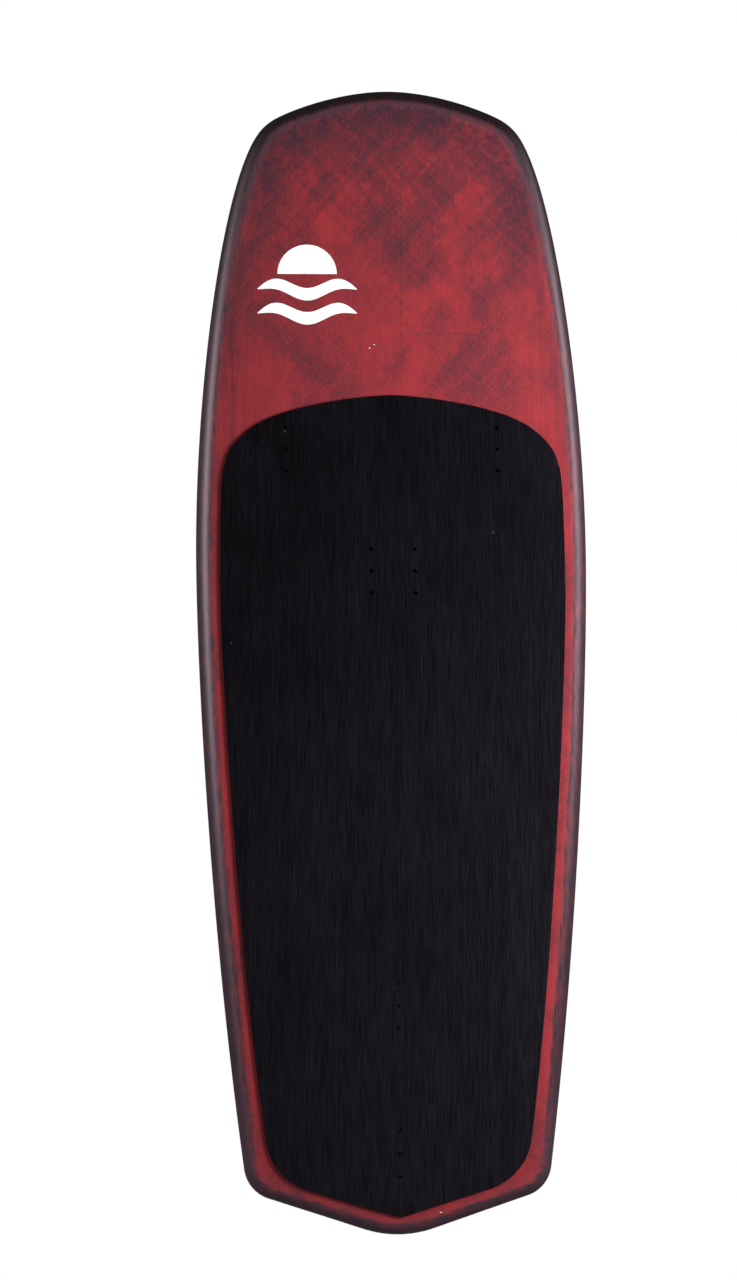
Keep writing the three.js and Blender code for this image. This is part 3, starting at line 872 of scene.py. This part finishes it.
def store_rim_distance(thing):
    """Stores how far each point is from the board's edge, seen from above, as the attribute rim,
    and how far inwards of the rail's dark band it is as inside_band."""
    mesh = thing.data
    places = np.empty(len(mesh.vertices) * 3)
    mesh.vertices.foreach_get("co", places)
    places = places.reshape(-1, 3)[:, :2]
    start = BOARD_OUTLINE[::2]
    side = np.roll(start, -1, axis=0) - start
    nearest = np.full(len(places), np.inf)
    for a, ab in zip(start, side):
        share = np.clip((places - a) @ ab / (ab @ ab), 0, 1)
        nearest = np.minimum(nearest, np.linalg.norm(places - a - share[:, None] * ab, axis=1))
    inside = nearest - along_board(places[:, 1], RAIL_BAND)
    for name, values in (("rim", nearest), ("inside_band", inside)):
        stored = mesh.attributes.new(name, "FLOAT", "POINT")
        stored.data.foreach_set("value", values.astype(np.float32))


def skin(name, side):
    """Half of the laminate, from the rail's apex to the deck (side 1) or to the bottom (side -1)."""
    rings = hull_rings(side, 0)[::-1] + hull_rings(side, SKIN)
    return gridded_loft(name, rings, ACROSS)


def deck_skin():
    holes = screw_holes(SCREW_HOLE_RADIUS, THICKNESS - 3 * SKIN, THICKNESS + SKIN)
    made = cut(skin("deck_laminate", 1), holes)
    store_rim_distance(made)
    return finished_piece(smooth(made), "tinted_carbon", "board", "deck_skin")


def track_outlines():
    """The outlines of a track's flange, as wide and long as its CAD box, and of its body."""
    low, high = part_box("track_port")
    width, length = high.x - low.x, high.y - low.y
    body_width = width - TRACK_BODY_NARROWER
    flange = rounded_rectangle(width, length, width / 4)
    body = rounded_rectangle(body_width, length - TRACK_BODY_SHORTER, body_width / 4)
    return flange, body


def bottom_skin():
    flange, body = track_outlines()
    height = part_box("track_port")[1].z
    pockets = []
    for name in ("track_port", "track_starboard"):
        place = box_middle(name)
        for outline, top in ((flange, TRACK_POCKET), (body, height + GLUE)):
            wide = inset_outline(outline, -GLUE)
            pocket = capped_loft("pocket", [at_height(wide, -SKIN), at_height(wide, top)])
            pockets.append(moved(pocket, place.x, place.y))
    tool = pockets[0]
    for pocket in pockets[1:]:
        combined(tool, "UNION", pocket)
    made = combined(skin("bottom_laminate", -1), "DIFFERENCE", tool)
    store_rim_distance(made)
    return finished_piece(smooth(made), "dark_carbon", "board", "bottom_skin")


# ---------------------------------------------------------------- pad


def groove(x, rng):
    """The tool for a shallow V-shaped groove along the board, whose depth and course wander a little."""
    overrun = 10 * MM
    wide = GROOVE["width"] / 2
    floor_wide = 0.1 * wide
    above = 0.5 * MM
    rings = []
    for y in np.linspace(PAD_BOX[0].y - overrun, PAD_BOX[1].y + overrun, GROOVE_STATIONS):
        depth = GROOVE["depth"] + rng.uniform(-1, 1) * GROOVE["spread"]
        middle = x + rng.uniform(-1, 1) * GROOVE["sway"]
        section = [(-wide, above), (wide, above), (wide, 0)]
        section += [(floor_wide, -depth), (-floor_wide, -depth), (-wide, 0)]
        rings.append(np.array([(middle + side, y, PAD_HIGH + z) for side, z in section]))
    return capped_loft("groove", rings)


def deck_pad():
    rng = random.Random(GROOVE_SEED)
    made = plate("eva_deck_pad", PAD_OUTLINE, PAD_LOW, PAD_HIGH, PAD_LOW_EDGE, PAD_HIGH_EDGE)
    count = int(PAD_BOX[1].x / GROOVE["pitch"])
    made = cut(made, [groove((i + 0.5) * GROOVE["pitch"], rng) for i in range(-count, count)])
    made = cut(made, screw_holes(PAD_HOLE_RADIUS, PAD_LOW - MM, PAD_HIGH + 0.5 * MM))
    return finished_piece(smooth(made), "eva_pad", "board", "deck_pad")


# ---------------------------------------------------------------- print on the nose


def print_strip(name, left, right, node):
    """A thin print between two edges of points, which follows the deck."""
    count = len(left)
    edges = [(left, PRINT_LOW), (right, PRINT_LOW), (right, PRINT_HIGH), (left, PRINT_HIGH)]
    rings = [np.column_stack([edge, deck_height(edge[:, 1]) + lift]) for edge, lift in edges]
    points = np.vstack(rings)
    faces = []
    for ring in range(len(rings)):
        for i in range(count - 1):
            a, b = ring * count + i, ((ring + 1) % len(rings)) * count + i
            faces.append((a, a + 1, b + 1, b))
    faces.append(tuple(ring * count for ring in range(len(rings))))
    faces.append(tuple(ring * count + count - 1 for ring in range(len(rings))))
    made = mesh_object(name, points, faces)
    return finished_piece(smooth(made), "print_white", "board", node)


def decal_sun():
    """A half disc. It starts a little below its top, where its two edges would meet in a point."""
    low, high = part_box("decal_sun")
    radius = high.y - low.y
    angle = np.radians(np.linspace(88, 0, 40))
    x = radius * np.cos(angle)
    y = low.y + radius * np.sin(angle)
    middle = (low.x + high.x) / 2
    left, right = np.column_stack([middle - x, y]), np.column_stack([middle + x, y])
    return print_strip("print_sun", left, right, "decal_sun")


def decal_wave(which):
    """A wavy ribbon that narrows towards both ends."""
    node = "decal_wave_" + which
    low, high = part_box(node)
    swell, half_width, half_tip_width, turns = 6 * MM, 7 * MM, 0.25 * MM, 1.5
    along = np.linspace(0, 1, 90)
    x = low.x + (high.x - low.x) * along
    middle = (low.y + high.y) / 2 + swell * np.sin(2 * math.pi * turns * along)
    half = half_width * (1 - (2 * along - 1) ** 4) + half_tip_width
    lower, upper = np.column_stack([x, middle - half]), np.column_stack([x, middle + half])
    return print_strip("print_wave_" + which, lower, upper, node)


# ---------------------------------------------------------------- inserts, tracks and nuts


def insert_mesh():
    """A flanged sleeve with grooves round its barrel and a threaded bore, its top at height 0."""
    flange_radius, radius, flange = INSERT["flange_radius"], INSERT["radius"], INSERT["flange"]
    low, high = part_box(INSERTS[0])
    length = high.z - low.z
    chamfer = INSERT_CHAMFER
    groove_radius = radius - chamfer
    profile = [(flange_radius - chamfer, 0), (flange_radius, -chamfer), (flange_radius, chamfer - flange)]
    profile += [(flange_radius - chamfer, -flange), (radius, -flange)]
    pitch = (length - flange - 2 * chamfer) / INSERT_GROOVES
    for i in range(INSERT_GROOVES):
        top = -flange - chamfer - i * pitch
        profile += [(radius, top), (groove_radius, top - 0.3 * pitch), (groove_radius, top - 0.7 * pitch)]
    profile += [(radius, chamfer - length), (radius - chamfer, -length)]
    body = capped_loft("insert", [at_height(circle(r, 40), z) for r, z in profile])
    bore = threaded_rod("bore", INSERT_THREAD, -INSERT["bore_depth"], 0.5 * MM)
    return smooth(cut(body, [bore]))


def inserts():
    shape = insert_mesh()
    for name in INSERTS:
        low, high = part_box(name)
        made = new_object("threaded_" + name, shape.data)
        made.location = ((low.x + high.x) / 2, (low.y + high.y) / 2, high.z)
        finished_piece(made, "insert_steel", "board", name)
    bpy.data.objects.remove(shape)


def slot_tool(width, length, corner):
    """The tool for a slot in the bottom of a track, with a chamfer at its mouth."""
    outline = rounded_rectangle(width, length, corner, 4)
    chamfer = SLOT["chamfer"]
    sizes = [(-2 * chamfer, -chamfer), (0, chamfer), (0, SLOT["top"])]
    return capped_loft("slot", [at_height(inset_outline(outline, inset), z) for inset, z in sizes])


def track(side):
    """A moulded channel, closed at both ends, with a slot below and an entry for the nuts at its middle."""
    node = "track_" + side
    low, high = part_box(node)
    flange, body = track_outlines()
    made = plate("moulded_" + node, flange, 0, TRACK_FLANGE, low_edge=0.3 * MM, high_edge=0.3 * MM)
    channel = plate("channel", body, TRACK_FLANGE / 2, high.z, low_edge=0.1 * MM, high_edge=1.0 * MM)
    made = combined(made, "UNION", channel)
    cavity = rounded_rectangle(CAVITY["width"], CAVITY["length"], CAVITY["corner"], 4)
    tool = plate("cavity", cavity, CAVITY["low"], CAVITY["high"], low_edge=0.5 * MM, high_edge=0.5 * MM)
    tool = combined(tool, "UNION", slot_tool(SLOT["width"], CAVITY["length"], SLOT["corner"]))
    tool = combined(tool, "UNION", slot_tool(CAVITY["width"], SLOT["entry_length"], CAVITY["corner"]))
    made = moved(combined(made, "DIFFERENCE", tool), (low.x + high.x) / 2, (low.y + high.y) / 2)
    return finished_piece(smooth(made), "track_plastic", "board", node)


def nut_mesh():
    """A T-nut with rounded edges and a threaded bore, centred on the origin, with its neck below."""
    low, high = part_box("nut_port_front")
    base = rounded_rectangle(high.x - low.x, high.y - low.y, NUT_BASE["corner"], 6)
    made = plate("nut", base, NUT_BASE["low"], high.z, low_edge=0.6 * MM, high_edge=0.8 * MM)
    neck_outline = rounded_rectangle(NUT_NECK["width"], NUT_NECK["length"], NUT_NECK["corner"], 6)
    neck = plate("neck", neck_outline, low.z, NUT_NECK["high"], low_edge=0.6 * MM, high_edge=0.2 * MM)
    bore = threaded_rod("bore", NUT_THREAD, low.z - MM, high.z + MM, 32)
    return smooth(cut(combined(made, "UNION", neck), [bore]))


def nuts():
    shape = nut_mesh()
    for side in ("port", "starboard"):
        for end in ("front", "rear"):
            name = f"nut_{side}_{end}"
            place = box_middle(name)
            made = new_object("threaded_" + name, shape.data)
            made.location = (place.x, place.y, 0)
            finished_piece(made, "nut_steel", name, name)
    bpy.data.objects.remove(shape)


# ---------------------------------------------------------------- hidden pieces that keep their CAD shape


def dress_cad_nodes():
    for name, node in frame["nodes"].items():
        if name == "foam_core":
            set_material(node, "core_foam")
        elif name == "deck_sheet" or name.endswith("_block"):
            set_material(node, "dense_foam")


# ---------------------------------------------------------------- stage

FLOOR_SIZE = 12.0
FLOOR_Z = -0.6 * MM
STUDIO_STRENGTH, BACKDROP_STRENGTH = 0.08, 1.0

# The camera aims at a point of the deck from CAMERA_DISTANCE, turned about its own axes from straight down.
CAMERA_LENS = 80.81
CAMERA_AIM = Vector((-0.0274, 0.0146, 0.022))
CAMERA_DISTANCE = 3.267
CAMERA_TURNS = ((-2.981, "Y"), (6.751, "X"), (-0.55, "Z"))


def floor():
    """A pale floor that only the camera sees, and only from above. The bottom stays lit and in view."""
    g = Graph("pale_floor")
    pale = g.noise((0.8, 0.8, 0.8), detail=2) * 0.01 + 1.0
    glow = g.add("ShaderNodeEmission", {"Color": g.shaded((1, 1, 1), pale), "Strength": 1.0})
    clear = g.add("ShaderNodeBsdfTransparent", {"Color": (1, 1, 1)})
    direct = g.add("ShaderNodeLightPath", {}, "Is Camera Ray")
    back = g.add("ShaderNodeNewGeometry", {}, "Backfacing")
    g.add_output(g.add("ShaderNodeMixShader", {0: direct * (1 - back), 1: clear, 2: glow}))
    half = FLOOR_SIZE / 2
    corners = [(x * half, y * half, FLOOR_Z) for x, y in ((-1, -1), (1, -1), (1, 1), (-1, 1))]
    mesh = bpy.data.meshes.new("floor")
    mesh.from_pydata(corners, [], [(0, 1, 2, 3)])
    mesh.materials.append(g.material)
    new_object("floor", mesh)


def world():
    """White behind the object, and a dim studio for everything that the object reflects."""
    made = bpy.data.worlds.new("studio")
    bpy.context.scene.world = made
    made.use_nodes = True
    tree = made.node_tree
    tree.nodes.clear()
    path = tree.nodes.new("ShaderNodeLightPath")
    mix = tree.nodes.new("ShaderNodeMixShader")
    output = tree.nodes.new("ShaderNodeOutputWorld")
    for index, strength in ((1, STUDIO_STRENGTH), (2, BACKDROP_STRENGTH)):
        background = tree.nodes.new("ShaderNodeBackground")
        background.inputs["Color"].default_value = (1, 1, 1, 1)
        background.inputs["Strength"].default_value = strength
        tree.links.new(background.outputs[0], mix.inputs[index])
    tree.links.new(path.outputs["Is Camera Ray"], mix.inputs[0])
    tree.links.new(mix.outputs[0], output.inputs["Surface"])


def softbox(name, place, aim, width, length, power, reflected=True):
    """A rectangular light of so many watts that faces aim. The object mirrors it only if it is reflected."""
    light = bpy.data.lights.new(name, "AREA")
    light.shape = "RECTANGLE"
    light.size = width
    light.size_y = length
    light.energy = power
    made = bpy.data.objects.new(name, light)
    bpy.context.scene.collection.objects.link(made)
    made.location = place
    facing = Vector(aim) - Vector(place)
    made.rotation_euler = facing.to_track_quat("-Z", "Y").to_euler()
    made.visible_glossy = reflected


def lights():
    """A key and a fill light that aren't reflected, a low strip on each side that draws the rails, a weak
    one at the tail, and one under the floor for views of the bottom."""
    aim = (0, 0.1, 0.03)
    softbox("key", (0.83, 0.05, 0.97), aim, 0.6, 0.5, 22, reflected=False)
    softbox("fill", (-1.6, 0.0, 0.35), aim, 0.8, 0.4, 8, reflected=False)
    softbox("strip_starboard", (1.50, 0.50, 0.56), aim, 1.1, 0.4, 13)
    softbox("strip_port", (-1.9, 0.50, 0.68), aim, 1.1, 0.5, 18)
    softbox("tail", (0, -1.7, 0.6), (0, -0.6, 0.03), 1.6, 0.40, 5, reflected=False)
    softbox("below", (0, 0, -2.5), (0, 0, 0), 1.2, 3.0, 40)


def camera():
    """The camera looks down at the deck from above the tail's port side."""
    data = bpy.data.cameras.new("camera")
    data.sensor_width = 36
    data.lens = CAMERA_LENS
    data.clip_end = 50
    made = bpy.data.objects.new("camera", data)
    bpy.context.scene.collection.objects.link(made)
    turned = Matrix.Identity(4)
    for degrees, axis in CAMERA_TURNS:
        turned = turned @ Matrix.Rotation(math.radians(degrees), 4, axis)
    away = Matrix.Translation((0, 0, CAMERA_DISTANCE))
    made.matrix_world = Matrix.Translation(CAMERA_AIM) @ turned @ away
    bpy.context.scene.camera = made


# ---------------------------------------------------------------- assembly

deck_skin()
bottom_skin()
deck_pad()
decal_sun()
decal_wave("upper")
decal_wave("lower")
inserts()
for side in ("port", "starboard"):
    track(side)
nuts()
dress_cad_nodes()

floor()
world()
lights()
camera()
bpy.context.scene.view_settings.view_transform = "Standard"
